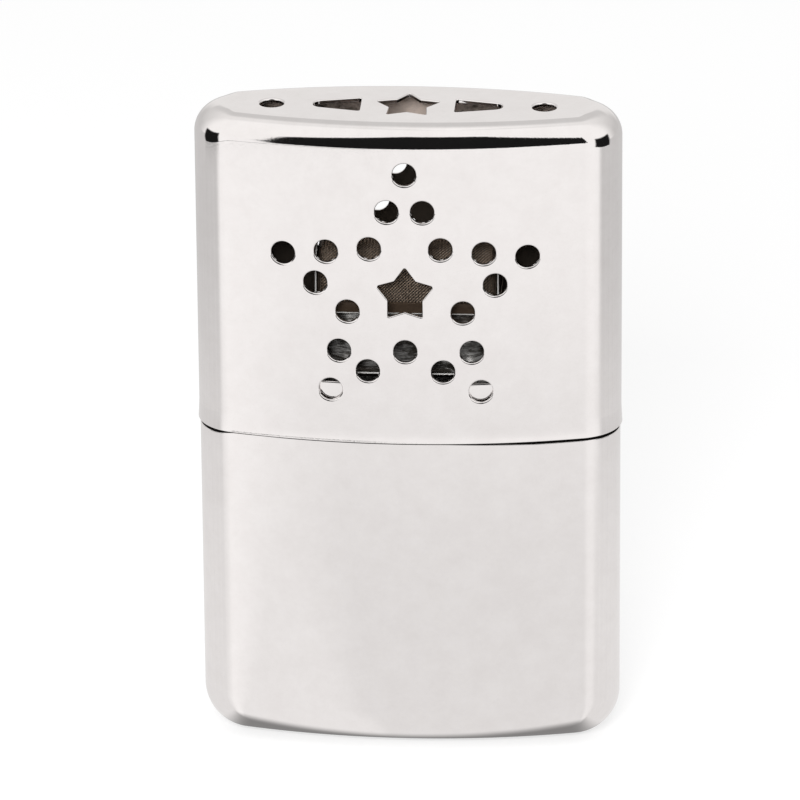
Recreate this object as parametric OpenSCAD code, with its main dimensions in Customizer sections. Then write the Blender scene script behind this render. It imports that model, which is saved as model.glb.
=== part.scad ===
// Catalytic pocket hand warmer. A drawn tank holds fuel in cotton wadding, a lift-off
// burner sits on the tank's filler neck, and a perforated cap slips over both.
// Millimetres. The origin is the middle of the foot, +Z is up, and the front faces -Y.

/* [Case] */
// Width across the rounded ends
body_w = 66; // [60:1:76]
// Depth from front to back
body_d = 22; // [20:0.5:26]
// Height from the foot to the top of the cap
body_h = 105; // [100:1:125]
// Radius of the rounded ends, seen from above
end_r = 7.8; // [6.5:0.1:9]
// Thickness of the sheet that the cap and the tank are drawn from
sheet_t = 0.6; // [0.4:0.05:0.9]
// Rounding of the cap's top edge
top_r = 3.5; // [2:0.25:5]
// Rounding of the tank's foot
foot_r = 7.4; // [4:0.2:7.4]
// Height of the parting line, where the cap's rim meets the tank
part_z = 53; // [46:1:56]
// Gap that shows between the cap's rim and the tank's edge
part_gap = 0.3; // [0.15:0.05:0.6]
// Rounding of the tank's upper edge
edge_r = 0.25; // [0.1:0.05:0.4]
// Height over which the cap flares out towards its rim
flare_h = 3; // [1:0.25:5]
// How far the flare stands out from the cap
flare_out = 0.15; // [0.1:0.05:0.35]

/* [Fits] */
// Gap between the cap and the collar that it slips over
cap_fit = 0.25; // [0.2:0.05:0.4]
// Gap of the brazed seam between the tank's shell and its top
seam_fit = 0.1; // [0.05:0.01:0.15]
// Gap between the filler neck and the burner's socket
neck_fit = 0.2; // [0.1:0.05:0.35]
// Gap that a soft filling keeps from the metal round it
soft_fit = 0.3; // [0.2:0.05:0.5]
// Gap between small brazed or crimped pieces
crimp_fit = 0.05; // [0.03:0.01:0.1]
// Gap below the burner where it rests on the tank's top
rest_gap = 0.1; // [0.05:0.05:0.3]

/* [Star of vents, front and back] */
// Distance from the cap's top down to the middle of the star
star_drop = 27.2; // [25:0.2:29]
// Radius to the vents at the star's five tips
star_r = 19.8; // [16:0.2:21]
// Radius to the vents at the star's five inner corners
star_waist = 9.35; // [8.4:0.05:10.5]
// Diameter of a round vent
vent_d = 3.6; // [2.4:0.1:4]
// Radius to the tips of the small star cut in the middle
mid_star_r = 4.6; // [3:0.1:5.4]
// Radius to the inner corners of the small star
mid_star_waist = 2.8; // [1.6:0.1:3]

/* [Vents in the cap's top] */
// Radius to the tips of the star in the cap's top
top_star_r = 5.2; // [3.5:0.1:5.6]
// Radius to the inner corners of that star
top_star_waist = 3; // [1.6:0.1:3.2]
// Distance from the middle to the wide end of a tapered slot
slot_x = 7.3; // [6.8:0.1:8]
// Length of a tapered slot
slot_l = 7.3; // [4.5:0.1:9]
// Width of a tapered slot at its wide end
slot_wide = 5.7; // [4:0.1:6.4]
// Width of a tapered slot at its round end
slot_narrow = 2.9; // [1.6:0.1:3.6]
// Distance from the middle to a round hole in the top
top_hole_x = 21; // [19.6:0.1:23]
// Diameter of a round hole in the top
top_hole_d = 3.7; // [2.4:0.1:4.2]

/* [Tank top and filler neck] */
// Height of the collar above the parting line
collar_h = 9.8; // [8:0.2:14]
// Rounding of the collar's top edge
collar_r = 0.8; // [0.7:0.1:2.4]
// How far the tank's top reaches down inside the shell
sleeve_l = 6; // [4:0.5:10]
// Length of the filler neck, seen from above
neck_l = 27; // [22:0.5:32]
// Width of the filler neck, seen from above
neck_w = 10.8; // [9:0.2:12]
// Height of the filler neck above the tank's top
neck_h = 6.7; // [5.6:0.1:8.5]
// Wall of the filler neck
neck_t = 0.4; // [0.3:0.05:0.6]
// Width of the flange that holds the neck under the tank's top
neck_flange = 1.3; // [0.8:0.1:1.8]
// Depth from the neck's mouth down to the wick
wick_recess = 4.8; // [4.6:0.1:5.4]
// Space left between the wadding and the tank's top
head_space = 4; // [2.5:0.5:10]
// Rounding of the wadding's top edge
wadding_edge_r = 2; // [1:0.5:4]

/* [Burner] */
// Height of the burner's socket
socket_h = 10; // [9.2:0.2:13]
// Wall of the burner's socket
socket_t = 0.4; // [0.3:0.05:0.6]
// How far the socket's foot is turned out
lip_out = 1; // [0.8:0.1:1.6]
// Inside radius of the bend at the socket's foot
lip_bend_r = 0.6; // [0.3:0.05:0.7]
// Width of the ledge turned in at the socket's top
ledge_w = 1; // [0.6:0.1:1.8]
// Sheet of the frame that holds the gauze
frame_t = 0.35; // [0.25:0.05:0.5]
// Height of the frame
frame_h = 1.5; // [1:0.1:2.4]
// Length of the gauze hood
hood_l = 27.6; // [25:0.2:29]
// Width of the gauze hood
hood_w = 12; // [11:0.2:13]
// Height of the gauze hood above the frame's floor
hood_h = 10.1; // [8:0.1:13]
// Rounding of the hood's long top edges
hood_side_r = 4; // [2:0.1:5]
// Rounding of the hood's short top edges
hood_end_r = 2.4; // [1.2:0.1:3.5]
// Rounding of the hood's upright edges
hood_corner_r = 1.2; // [0.8:0.1:2]
// Thickness of the woven gauze
gauze_t = 0.35; // [0.25:0.05:0.5]
// Sheet of the two end caps over the gauze
end_cap_t = 0.25; // [0.2:0.05:0.4]
// How far an end cap wraps over the gauze
end_cap_wrap = 0.5; // [0.5:0.1:2]
// Thickness of the plate under the catalyst
grid_t = 0.4; // [0.3:0.05:0.8]
// Width of a slot in that plate
grid_slot_w = 1.2; // [0.8:0.1:1.6]
// Length of a slot in that plate
grid_slot_l = 3.4; // [2:0.1:3.8]
// Rounding of a slot's corners
grid_slot_r = 0.35; // [0.1:0.05:0.4]
// Distance from slot to slot in that plate
grid_pitch = 2.2; // [1.9:0.1:3]
// Rib left along the middle of that plate
grid_rib = 0.8; // [0.5:0.1:1.6]

/* [Hidden] */
$fn = 96;

// The plan is a lens: two wide arcs, for the front and the back, and two end arcs
// that run into them without a corner. An outline that lies inside it keeps the same
// four centres, so a wall of even thickness is the same profile swept round them.
end_cx = body_w / 2 - end_r;
half_d = body_d / 2;
face_r = (pow(end_cx, 2) + pow(half_d, 2) - pow(end_r, 2)) / (2 * (half_d - end_r));
face_cy = face_r - half_d;
// Reach of a cutter past what it cuts, and of a swept profile past the middle plane
past = 1;
inward = half_d + past;
tall = body_h + 2 * past;
// Overlap that joins the faces' sweeps to the ends' without a slit
lap = 0.001;

// How far each outline lies inside the cap's outer face
tank_in = cap_fit - seam_fit;
shell_inner_in = tank_in + sheet_t;
collar_in = sheet_t + cap_fit;
collar_inner_in = collar_in + sheet_t;
wadding_in = collar_inner_in + soft_fit;

// Heights
shell_top_z = part_z - part_gap;
deck_z = part_z + collar_h;
deck_under_z = deck_z - sheet_t;
neck_top_z = deck_z + neck_h;
neck_foot_z = deck_under_z - neck_t;
wick_top_z = neck_top_z - wick_recess;
wadding_top_z = deck_under_z - head_space;
socket_z = deck_z + rest_gap;
socket_top_z = socket_z + socket_h;
hood_z = socket_top_z + frame_t;
mat_z = hood_z + grid_t + soft_fit;
star_z = body_h - star_drop;

// The foot's fillet runs round the end arc and leaves a little of it flat
foot_flat = 0.25;
tank_foot_r = min(foot_r, end_r - tank_in - foot_flat);

// The neck and the socket are ovals with one straight length, at different offsets
oval_straight = neck_l - neck_w;
neck_r = neck_w / 2;
neck_bore_r = neck_r - neck_t;
socket_bore_r = neck_r + neck_fit;
socket_r = socket_bore_r + socket_t;
window_r = socket_r - socket_t - ledge_w;
wick_r = neck_bore_r - soft_fit;

// How far pieces of the burner's head lie outside the gauze
end_cap_gap = crimp_fit;
end_cap_out = end_cap_gap + end_cap_t;
frame_inner_out = end_cap_out + crimp_fit;
frame_out = frame_inner_out + frame_t;

steel = [0.86, 0.85, 0.84];
dull_steel = [0.62, 0.60, 0.57];
gauze_brown = [0.33, 0.28, 0.24];
cotton_white = [0.93, 0.91, 0.87];
felt_grey = [0.82, 0.80, 0.76];
glass_wool = [0.72, 0.70, 0.68];

// ---- profiles and sweeps ----

// Solid profile for a sweep: from the middle out to x = out, between two heights,
// with its outer corners rounded by low_r and high_r. x = 0 is the cap's outer face.
module edge_profile(out, low, high, low_r, high_r) {
    difference() {
        translate([-inward, low])
            square([inward + out, high - low]);
        if (low_r > 0)
            translate([out - low_r, low + low_r])
                mirror([0, 1])
                    corner_cutter(low_r);
        if (high_r > 0)
            translate([out - high_r, high - high_r])
                corner_cutter(high_r);
    }
}

// What a fillet of radius r takes off an outer top corner, from the fillet's centre
module corner_cutter(r) {
    difference() {
        square([r + past, r + past]);
        circle(r = r);
    }
}

// Sweeps its child profile round the lens-shaped plan
module lens_sweep() {
    for (side = [0, 1]) {
        mirror([0, side, 0])
            intersection() {
                translate([0, face_cy, 0])
                    rotate_extrude()
                        translate([face_r, 0])
                            children();
                face_sector();
            }
        mirror([side, 0, 0])
            intersection() {
                translate([end_cx, 0, 0])
                    rotate([0, 0, 180])
                        rotate_extrude()
                            outer_half()
                                translate([end_r, 0])
                                    children();
                end_sector();
            }
    }
}

// Keeps what lies at x > 0, where a profile would run past its axis
module outer_half() {
    intersection() {
        children();
        translate([0, -past])
            square([body_w, tall + 2 * past]);
    }
}

// The part of the plan that the front arc bounds, between the lines from its centre
// through the centres of the two ends
module face_sector() {
    translate([0, 0, -past])
        linear_extrude(tall)
            polygon([
                [-end_cx, 0],
                [end_cx, 0],
                [2 * end_cx, -face_cy],
                [-2 * end_cx, -face_cy]
            ]);
}

// The part of the plan that the right end's arc bounds
module end_sector() {
    translate([-lap, 0, -past])
        linear_extrude(tall)
            polygon([
                [end_cx, 0],
                [2 * end_cx, -face_cy],
                [3 * end_cx, -face_cy],
                [3 * end_cx, face_cy],
                [2 * end_cx, face_cy]
            ]);
}

// Sweeps its child profile, whose x is the distance from the middle line, round an oval
module oval_sweep() {
    for (side = [-1, 1]) {
        translate([side * oval_straight / 2, 0, 0])
            rotate([0, 0, -90 * side])
                rotate_extrude(angle = 180)
                    children();
        mirror([0, side > 0 ? 1 : 0, 0])
            rotate([90, 0, 90])
                linear_extrude(oval_straight, center = true)
                    children();
    }
}

// Oval block out to radius r, between two heights
module oval_block(r, low, high) {
    oval_sweep()
        translate([0, low])
            square([r, high - low]);
}

// Rectangle with rounded corners, centred on the origin
module rounded_plate(length, width, r) {
    difference() {
        square([length, width], center = true);
        for (sx = [0, 1], sy = [0, 1])
            mirror([sx, 0])
                mirror([0, sy])
                    translate([length / 2 - r, width / 2 - r])
                        corner_cutter(r);
    }
}

// Upright rectangle on the x axis whose two top corners are rounded
module rounded_top(width, height, r) {
    difference() {
        translate([-width / 2, 0])
            square([width, height]);
        for (side = [0, 1])
            mirror([side, 0])
                translate([width / 2 - r, height - r])
                    corner_cutter(r);
    }
}

// ---- cut-outs ----

// Points of a five-pointed star with one tip up
function star_points(tip, waist) = [
    for (k = [0:9])
        let (r = k % 2 == 0 ? tip : waist)
            [r * cos(90 + 36 * k), r * sin(90 + 36 * k)]
];

// Vents at the corners of a large star and halfway along its edges, right through the cap
module star_vents() {
    corners = star_points(star_r, star_waist);
    for (k = [0:9]) {
        next = corners[(k + 1) % 10];
        vent(corners[k]);
        vent((corners[k] + next) / 2);
    }
    translate([0, 0, star_z])
        rotate([90, 0, 0])
            linear_extrude(body_d + 2 * past, center = true)
                polygon(star_points(mid_star_r, mid_star_waist));
}

module vent(place) {
    translate([place[0], 0, star_z + place[1]])
        rotate([90, 0, 0])
            cylinder(d = vent_d, h = body_d + 2 * past, center = true);
}

// Star, tapered slots and round holes in the cap's top
module top_vents() {
    translate([0, 0, body_h - sheet_t - past])
        linear_extrude(sheet_t + 2 * past) {
            polygon(star_points(top_star_r, top_star_waist));
            for (side = [0, 1])
                mirror([side, 0]) {
                    tapered_slot();
                    translate([top_hole_x, 0])
                        circle(d = top_hole_d);
                }
        }
}

// Slot with a square end towards the middle and a round outer end, whose straight
// edges run into the round one without a corner
module tapered_slot() {
    r = slot_narrow / 2;
    cx = slot_x + slot_l - r;
    run = cx - slot_x;
    rise = slot_wide / 2;
    touch = atan2(rise, -run) - acos(r / norm([run, rise]));
    tx = cx + r * cos(touch);
    ty = r * sin(touch);
    translate([cx, 0])
        circle(r = r);
    polygon([[slot_x, -rise], [tx, -ty], [tx, ty], [slot_x, rise]]);
}

// ---- case ----

module cap() {
    color(steel)
        difference() {
            lens_sweep()
                difference() {
                    union() {
                        edge_profile(0, part_z, body_h, 0, top_r);
                        rim_flare();
                    }
                    edge_profile(-sheet_t, part_z - past, body_h - sheet_t, 0, top_r - sheet_t);
                }
            star_vents();
            top_vents();
        }
}

// Slight flare of the cap towards its rim, with the lower corner broken
module rim_flare() {
    polygon([
        [-sheet_t, part_z],
        [0, part_z],
        [flare_out, part_z + flare_out],
        [0, part_z + flare_h],
        [-sheet_t, part_z + flare_h]
    ]);
}

module tank_shell() {
    color(steel)
        lens_sweep()
            difference() {
                edge_profile(-tank_in, 0, shell_top_z, tank_foot_r, edge_r);
                edge_profile(-shell_inner_in, sheet_t, tall, tank_foot_r - sheet_t, 0);
            }
}

// Inverted cup brazed into the shell: its wall is the collar that guides the cap
module tank_top() {
    color(steel)
        difference() {
            lens_sweep()
                difference() {
                    edge_profile(-collar_in, part_z - sleeve_l, deck_z, 0, collar_r);
                    edge_profile(-collar_inner_in, part_z - sleeve_l - past, deck_under_z,
                                 0, collar_r - sheet_t);
                }
            oval_block(neck_r + crimp_fit, deck_under_z - past, deck_z + past);
        }
}

module filler_neck() {
    color(steel)
        oval_sweep()
            union() {
                translate([neck_bore_r, neck_foot_z])
                    square([neck_t, neck_top_z - neck_foot_z]);
                translate([neck_bore_r, neck_foot_z])
                    square([neck_t + neck_flange, neck_t]);
            }
}

// ---- filling ----

module cotton_wadding() {
    color(cotton_white)
        lens_sweep()
            edge_profile(-wadding_in, sheet_t + soft_fit, wadding_top_z,
                         tank_foot_r - wadding_in + tank_in, wadding_edge_r);
}

module wick_pad() {
    color(felt_grey)
        oval_block(wick_r, wadding_top_z + soft_fit, wick_top_z);
}

// ---- burner ----

// Oval socket that slips over the neck, its foot turned out and its top turned in
module burner_socket() {
    color(steel)
        oval_sweep()
            union() {
                translate([socket_bore_r, socket_z + lip_bend_r + socket_t])
                    square([socket_t, socket_h - lip_bend_r - socket_t]);
                translate([socket_r + lip_bend_r, socket_z + lip_bend_r + socket_t])
                    rotate(180)
                        quarter_ring(lip_bend_r, lip_bend_r + socket_t);
                translate([socket_r + lip_bend_r, socket_z])
                    square([lip_out - lip_bend_r, socket_t]);
                translate([window_r, socket_top_z - socket_t])
                    square([ledge_w + socket_t, socket_t]);
            }
}

// Quarter of a ring, in the corner where both axes are positive
module quarter_ring(inner_r, outer_r) {
    intersection() {
        difference() {
            circle(r = outer_r);
            circle(r = inner_r);
        }
        square(outer_r + past);
    }
}

// Tray crimped round the foot of the gauze, with an oval window over the socket
module gauze_frame() {
    color(dull_steel)
        translate([0, 0, socket_top_z])
            difference() {
                linear_extrude(frame_h)
                    hood_plan(frame_out);
                translate([0, 0, frame_t])
                    linear_extrude(frame_h)
                        hood_plan(frame_inner_out);
                translate([0, 0, -socket_top_z])
                    oval_block(window_r, socket_top_z - past, hood_z + past);
            }
}

module hood_plan(grow) {
    rounded_plate(hood_l + 2 * grow, hood_w + 2 * grow, hood_corner_r + grow);
}

// Solid of the hood's outer form, grown all round but at its foot. It is where three
// upright forms meet: one seen from the front, one from the side and one from above.
module hood_form(grow) {
    length = hood_l + 2 * grow;
    width = hood_w + 2 * grow;
    height = hood_h + grow;
    translate([0, 0, hood_z])
        intersection() {
            rotate([90, 0, 0])
                linear_extrude(width + 2 * past, center = true)
                    rounded_top(length, height, hood_end_r + grow);
            rotate([90, 0, 90])
                linear_extrude(length + 2 * past, center = true)
                    rounded_top(width, height, hood_side_r + grow);
            linear_extrude(height + past)
                hood_plan(grow);
        }
}

// Block over the whole hood, from one height up
module above(low) {
    translate([0, 0, low + tall / 2])
        cube([body_w, body_d, tall], center = true);
}

module gauze_hood() {
    color(gauze_brown)
        difference() {
            hood_form(0);
            translate([0, 0, -past])
                hood_form(-gauze_t);
            hood_form(-gauze_t);
        }
}

// Pressed cap over the right end of the gauze
module end_cap() {
    color(steel)
        intersection() {
            difference() {
                hood_form(end_cap_out);
                translate([0, 0, -past])
                    hood_form(end_cap_gap);
                hood_form(end_cap_gap);
            }
            translate([hood_l / 2 - end_cap_wrap, -half_d, 0])
                cube([body_w, body_d, tall]);
        }
}

module end_cap_right() {
    end_cap();
}

module end_cap_left() {
    mirror([1, 0, 0])
        end_cap();
}

// Plate in the hood's foot that carries the catalyst and lets the vapour through
module support_grid() {
    grid_in = gauze_t + crimp_fit;
    slots = floor((hood_l - 2 * grid_in - 2 * hood_corner_r) / grid_pitch);
    color(dull_steel)
        translate([0, 0, hood_z])
            linear_extrude(grid_t)
                difference() {
                    hood_plan(-grid_in);
                    for (k = [0:slots - 1], side = [-1, 1])
                        translate([(k - (slots - 1) / 2) * grid_pitch,
                                   side * (grid_slot_l + grid_rib) / 2])
                            rounded_plate(grid_slot_w, grid_slot_l, grid_slot_r);
                }
}

module catalyst_mat() {
    color(glass_wool)
        intersection() {
            hood_form(-gauze_t - soft_fit);
            above(mat_z);
        }
}

cap();
tank_shell();
tank_top();
filler_neck();
cotton_wadding();
wick_pad();
burner_socket();
gauze_frame();
support_grid();
catalyst_mat();
gauze_hood();
end_cap_left();
end_cap_right();
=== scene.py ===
"""Looks of a catalytic pocket hand warmer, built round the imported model.

Lengths of the pieces are millimetres in the model's own frame (+Z up, front to -Y), and
become metres where a mesh is made. Lengths in the looks and the studio are metres. The
case, neck, socket and tray are skins, whose normals are worked out with their points,
because polished sheet shows the smallest facet.
"""

import math

import bmesh
import bpy
import numpy as np
from mathutils import Matrix, Vector, geometry, noise


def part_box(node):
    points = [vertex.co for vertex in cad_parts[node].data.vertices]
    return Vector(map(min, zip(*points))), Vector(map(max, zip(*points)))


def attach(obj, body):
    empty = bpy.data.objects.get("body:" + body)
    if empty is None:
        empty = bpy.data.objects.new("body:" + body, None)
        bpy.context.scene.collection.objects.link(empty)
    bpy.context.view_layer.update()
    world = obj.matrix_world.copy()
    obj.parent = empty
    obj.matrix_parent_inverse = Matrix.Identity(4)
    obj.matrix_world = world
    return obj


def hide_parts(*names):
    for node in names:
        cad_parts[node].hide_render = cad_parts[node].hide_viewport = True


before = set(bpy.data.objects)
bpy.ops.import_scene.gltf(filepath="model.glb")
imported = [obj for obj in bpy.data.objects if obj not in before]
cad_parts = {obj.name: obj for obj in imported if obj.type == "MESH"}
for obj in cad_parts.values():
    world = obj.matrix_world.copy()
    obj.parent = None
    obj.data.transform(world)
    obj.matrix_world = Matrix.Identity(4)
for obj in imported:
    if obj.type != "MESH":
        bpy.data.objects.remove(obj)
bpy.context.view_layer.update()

MM = 0.001
HALF_TURN = math.pi
QUARTER = math.pi / 2


def span(node):
    """Lowest and highest corner of a CAD node, in millimetres."""
    low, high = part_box(node)
    return np.array(low) / MM, np.array(high) / MM


# ---- sizes that the boxes of the nodes give ----

CAP_LOW, CAP_HIGH = span("cap")
SHELL_HIGH = span("tank_shell")[1]
TOP_LOW, TOP_HIGH = span("tank_top")
NECK_LOW, NECK_HIGH = span("filler_neck")
WICK_LOW, WICK_HIGH = span("wick_pad")
WADDING_LOW, WADDING_HIGH = span("cotton_wadding")
SOCKET_LOW, SOCKET_HIGH = span("burner_socket")
TRAY_LOW, TRAY_HIGH = span("gauze_frame")
HOOD_LOW, HOOD_HIGH = span("gauze_hood")
MAT_LOW = span("catalyst_mat")[0]

# ---- sizes of the case ----

SHEET = 0.6
FLARE_OUT = 0.15
FLARE_H = 3.0
FRONT_FLARE = 0.12
# How far the shell's lip reaches up in front and down at the ends, from its solid
SEAM_CLOSES = 0.24
SEAM_OPENS = 0.3
LIP_R = 0.12
SHEET_EDGE_R = 0.12
HOLE_ROLL = 0.08
# The top's fillet in front and behind, and at the ends
TOP_R = 3.4
TOP_END_R = 4.4
TOP_RIM_IN = TOP_END_R + 0.2
FOOT_R = 7.4
END_R = 7.8
COLLAR_R = 0.35
HALF_W = CAP_HIGH[0] - FLARE_OUT
HALF_D = CAP_HIGH[1] - FLARE_OUT
BODY_H = CAP_HIGH[2]
PART_Z = CAP_LOW[2]
SHELL_IN = HALF_W - SHELL_HIGH[0]
COLLAR_IN = HALF_W - TOP_HIGH[0]

# ---- sizes of the vents ----

STAR_Z = BODY_H - 27.2
STAR_R = 19.8
STAR_WAIST = 9.35
VENT_R = 1.8
MID_STAR = (4.6, 2.8)
TOP_STAR = (5.2, 3.0)
SLOT_X = 7.3
SLOT_L = 7.3
SLOT_WIDE = 5.7
SLOT_NARROW = 2.9
TOP_HOLE_X = 21.0
TOP_HOLE_R = 1.85
STAR_CORNER_R = 0.26
SLOT_CORNER_R = 0.35
PUNCH_ROLL = 0.32
STAR_ROLL = 0.2
BURR_ROLL = 0.05

# ---- sizes of the neck and the burner ----

OVAL_STRAIGHT = 16.2
NECK_R = 5.4
NECK_T = 0.4
NECK_FLANGE = 1.3
TIGHT_R = 0.05
MOUTH_R = 0.17
SOCKET_BORE_R = 5.6
SOCKET_T = 0.4
LIP_OUT = 1.0
LIP_BEND_R = 0.6
WINDOW_R = 4.6
TRAY_T = 0.35
TRAY_EDGE_R = 0.16
HOOD_SIDE_R = 4.0
HOOD_END_R = 2.4
HOOD_CORNER_R = 1.2
END_CAP_T = 0.25
END_CAP_GAP = 0.05
END_CAP_WRAP = 0.5
END_BEAD_R = 0.13
TRAY_LIFT = 0.5
WIRE_PITCH = 0.36
WIRE_R = 0.062


# ---- outlines ----


def bend(corners, closed, most_turn=0.16, longest=None):
    """A line through corners (a, b, radius), each rounded by its radius.

    Returns its points and the unit normals on its right-hand side. longest splits the
    straight runs.
    """
    corners = np.array(corners, float)
    count = len(corners)
    points, normals = [], []

    def put(point, normal):
        if points and np.linalg.norm(points[-1] - point) < 1e-7:
            return
        if points and longest and abs(np.dot(normals[-1], normal)) > 1 - 1e-9:
            run = np.linalg.norm(point - points[-1])
            start = points[-1]
            for k in range(1, math.ceil(run / longest)):
                points.append(start + (point - start) * k / math.ceil(run / longest))
                normals.append(normal)
        points.append(point)
        normals.append(normal)

    def right_of(way):
        return np.array([way[1], -way[0]])

    for i in range(count):
        at, radius = corners[i, :2], corners[i, 2]
        if not closed and i in (0, count - 1):
            way = corners[1, :2] - at if i == 0 else at - corners[i - 1, :2]
            put(at, right_of(way / np.linalg.norm(way)))
            continue
        come = at - corners[i - 1, :2]
        go = corners[(i + 1) % count, :2] - at
        come, go = come / np.linalg.norm(come), go / np.linalg.norm(go)
        turn = math.atan2(come[0] * go[1] - come[1] * go[0], come @ go)
        reach = radius * math.tan(abs(turn) / 2)
        side = math.copysign(1.0, turn)
        first = right_of(come)
        centre = at - come * reach - side * radius * first
        steps = max(1, math.ceil(abs(turn) / most_turn))
        for k in range(steps + 1):
            c, s = math.cos(turn * k / steps), math.sin(turn * k / steps)
            normal = np.array([c * first[0] - s * first[1], s * first[0] + c * first[1]])
            put(centre + side * radius * normal, normal)
    if closed and longest:
        put(points[0], normals[0])
        points.pop()
        normals.pop()
    return np.array(points), np.array(normals)


class Plan:
    """A closed outline seen from above: an arc's centre and radius, and the outward
    direction, at every step round it."""

    def __init__(self, arcs):
        centres, radii, ways = [], [], []
        for start, end, radius, angle_0, angle_1, steps in arcs:
            for k in range(steps):
                t = k / steps
                angle = angle_0 + (angle_1 - angle_0) * t
                centres.append(np.array(start) * (1 - t) + np.array(end) * t)
                radii.append(radius)
                ways.append((math.cos(angle), math.sin(angle)))
        self.centres, self.radii, self.ways = map(np.array, (centres, radii, ways))

    def ring(self, out, z):
        """The outline moved outwards by out, at height z."""
        flat = self.centres + (self.radii + out)[:, None] * self.ways
        return np.column_stack([flat, np.full(len(flat), z)])

    def carry(self, path, normals, columns=slice(None)):
        """Rows of points and of normals: a profile of (out, z) carried round the outline."""
        ways = self.ways[columns]
        rows = [self.ring(out, z)[columns] for out, z in path]
        tilts = [np.column_stack([ways * n[0], np.full(len(ways), n[1])]) for n in normals]
        return np.array(rows), np.array(tilts)


FACE_STEPS = 60
END_STEPS = 44
END_CX = HALF_W - END_R
FACE_R = (END_CX**2 + HALF_D**2 - END_R**2) / (2 * (HALF_D - END_R))
FACE_CY = FACE_R - HALF_D
MEET = math.atan2(END_CX, FACE_CY)


def lens_plan():
    """The case's plan: two wide arcs and two round ends that run into each other."""
    arcs = []
    for side in (1, -1):
        face, end = (0, side * FACE_CY), (side * END_CX, 0)
        base = -QUARTER if side > 0 else QUARTER
        arcs.append((face, face, FACE_R, base - MEET, base + MEET, FACE_STEPS))
        arcs.append((end, end, END_R, base + MEET, base + HALF_TURN - MEET, END_STEPS))
    return Plan(arcs)


def box_plan(half_x, half_y, radius, long_steps, short_steps, round_steps):
    """A rectangle with rounded corners. With no short sides it is an oval."""
    cx, cy = half_x - radius, half_y - radius
    corners = [(cx, -cy), (cx, cy), (-cx, cy), (-cx, -cy)]
    arcs = []
    for k in range(4):
        before, at = corners[k - 1], corners[k]
        angle = -QUARTER + k * QUARTER
        steps = short_steps if k % 2 else long_steps
        arcs.append((before, at, radius, angle, angle, steps))
        arcs.append((at, at, radius, angle, angle + QUARTER, round_steps))
    return Plan(arcs)


CASE = lens_plan()
# The line between the centres of the neck's round ends: an oval is this, moved outwards
OVAL = box_plan(OVAL_STRAIGHT / 2, 0, 0, 16, 0, 18)
FRONT = np.arange(0, FACE_STEPS + 1)
RIGHT_END = np.arange(FACE_STEPS, FACE_STEPS + END_STEPS + 1)
LEFT_END = (RIGHT_END + FACE_STEPS + END_STEPS) % len(CASE.ways)


# ---- skins ----


def grid_faces(rows, columns, closed=True):
    """Faces between rows of points, from the left-hand edge of the first row."""
    faces = []
    for r in range(rows - 1):
        low, high = r * columns, (r + 1) * columns
        for c in range(columns if closed else columns - 1):
            n = (c + 1) % columns
            faces.append((low + c, low + n, high + n, high + c))
    return faces


def tube_faces(rows, columns):
    """Faces of a tube of closed rings, with both ends shut."""
    last = (rows - 1) * columns
    ends = [tuple(reversed(range(columns))), tuple(range(last, last + columns))]
    return grid_faces(rows, columns) + ends


def tube(centre, normal, side, radius, corners):
    """Points and faces of a round wire along centre, with both ends shut."""
    turns = np.arange(corners)[None, :, None] * 2 * HALF_TURN / corners
    around = normal[:, None] * np.cos(turns) + side[:, None] * np.sin(turns)
    points = centre[:, None] + around * radius
    return points.reshape(-1, 3), tube_faces(len(centre), corners)


def weld(mesh, outward=False):
    """Joins points that lie together, drops faces without area and smooths the rest."""
    work = bmesh.new()
    work.from_mesh(mesh)
    bmesh.ops.remove_doubles(work, verts=work.verts, dist=2e-8)
    bmesh.ops.dissolve_degenerate(work, edges=work.edges, dist=1e-9)
    if outward:
        bmesh.ops.recalc_face_normals(work, faces=work.faces)
    work.to_mesh(mesh)
    work.free()
    mesh.polygons.foreach_set("use_smooth", [True] * len(mesh.polygons))


def show(name, data, looks=()):
    """An object in the scene with its data and looks."""
    for look in looks:
        data.materials.append(look)
    made = bpy.data.objects.new(name, data)
    bpy.context.scene.collection.objects.link(made)
    return made


def plain_piece(name, points, faces, looks, crease=math.radians(50)):
    """A mesh in metres that is smooth apart from edges sharper than crease."""
    mesh = bpy.data.meshes.new(name)
    mesh.from_pydata(np.asarray(points) * MM, [], faces)
    weld(mesh, outward=True)
    mesh.set_sharp_from_angle(angle=crease)
    return show(name, mesh, looks)


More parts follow.
